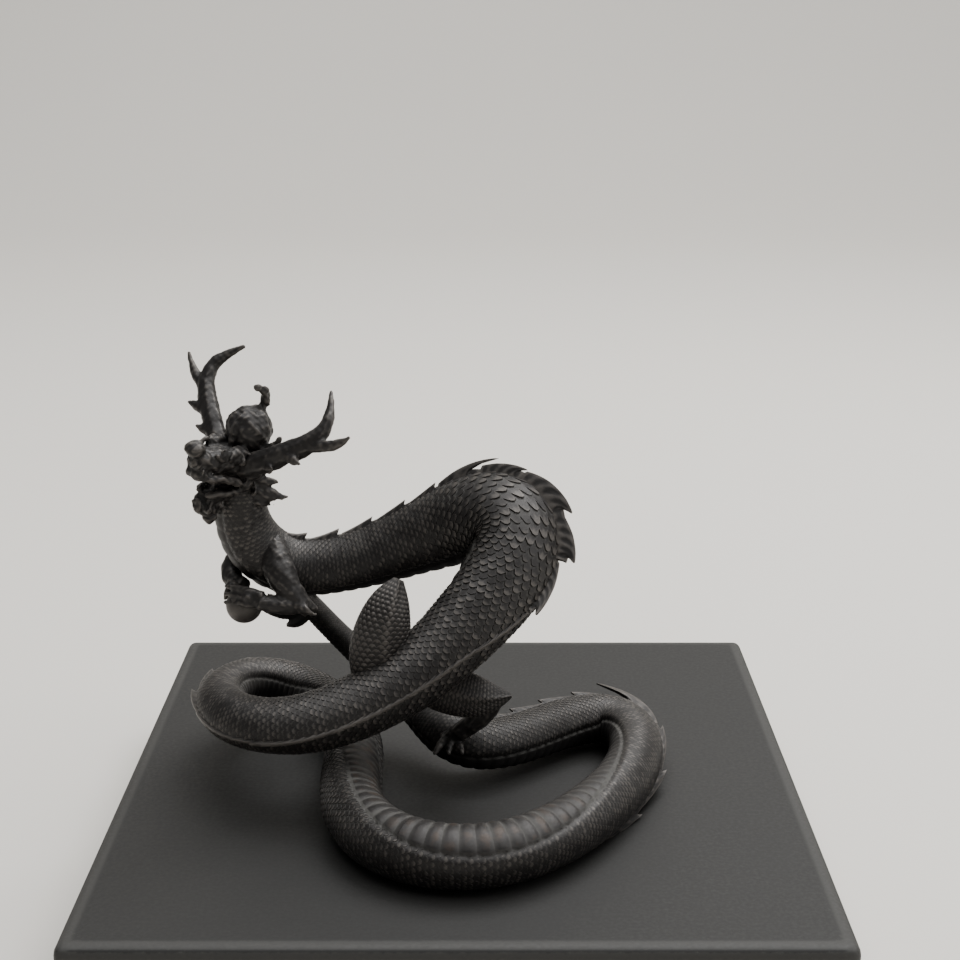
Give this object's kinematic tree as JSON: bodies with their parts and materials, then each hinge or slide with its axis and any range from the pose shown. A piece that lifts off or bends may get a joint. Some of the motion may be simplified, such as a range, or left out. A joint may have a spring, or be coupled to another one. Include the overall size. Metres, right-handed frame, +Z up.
{
  "type": "dragon sculpture",
  "caption": "Small cast bronze dragon with branching antlers, its scaled body coiled and arched over itself, standing on a square dark wooden plinth.",
  "frame": {"origin": "middle of the plinth's underside", "axes": "+Z up, +X to the dragon's arched back, -Y to the front of the low coil"},
  "size_m": [0.16, 0.16, 0.1305],
  "materials": {
    "bronze": "cast bronze with a near-black brown patina, worn brown on high places",
    "stained_wood": "dark grey-black stained wood, matte, with scuffed edges"
  },
  "bodies": {
    "root": {"dragon": "bronze", "plinth": "stained_wood"}
  },
  "joints": []
}
